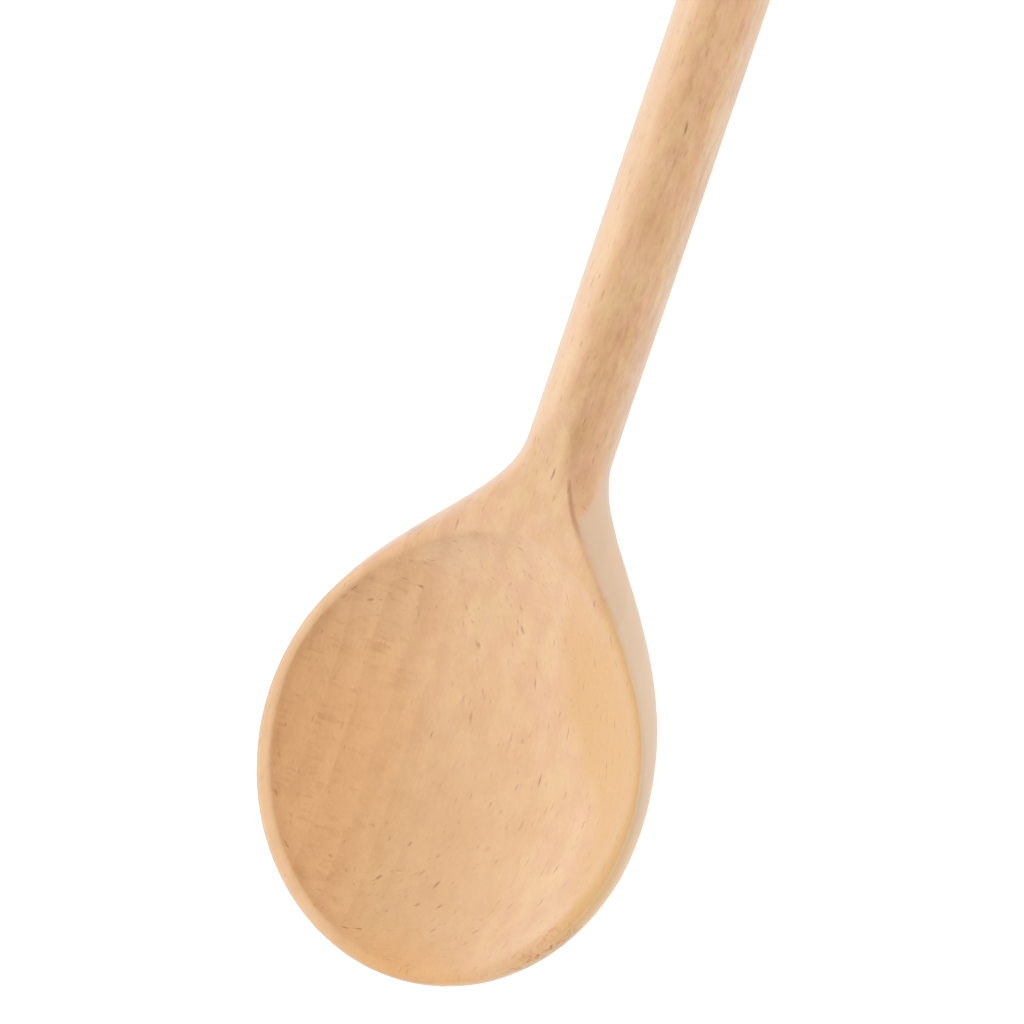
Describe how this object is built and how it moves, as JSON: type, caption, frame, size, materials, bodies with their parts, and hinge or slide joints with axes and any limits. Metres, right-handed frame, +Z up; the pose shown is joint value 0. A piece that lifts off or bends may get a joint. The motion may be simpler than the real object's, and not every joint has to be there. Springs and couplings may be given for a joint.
{
  "type": "wooden spoon",
  "caption": "Long wooden spoon with a round handle and a wide, shallow egg-shaped hollow in a flat-faced bowl.",
  "frame": {"origin": "under the middle of the spoon's length and width, level with its underside, where it lies on the table", "axes": "+X along the handle towards its free end, +Z up out of the hollow, +Y to the left of someone looking along the handle from the bowl to its free end"},
  "size_m": [0.3, 0.06, 0.012],
  "materials": {
    "beech": "sanded, bare"
  },
  "bodies": {
    "root": {"spoon": "beech"}
  },
  "joints": []
}
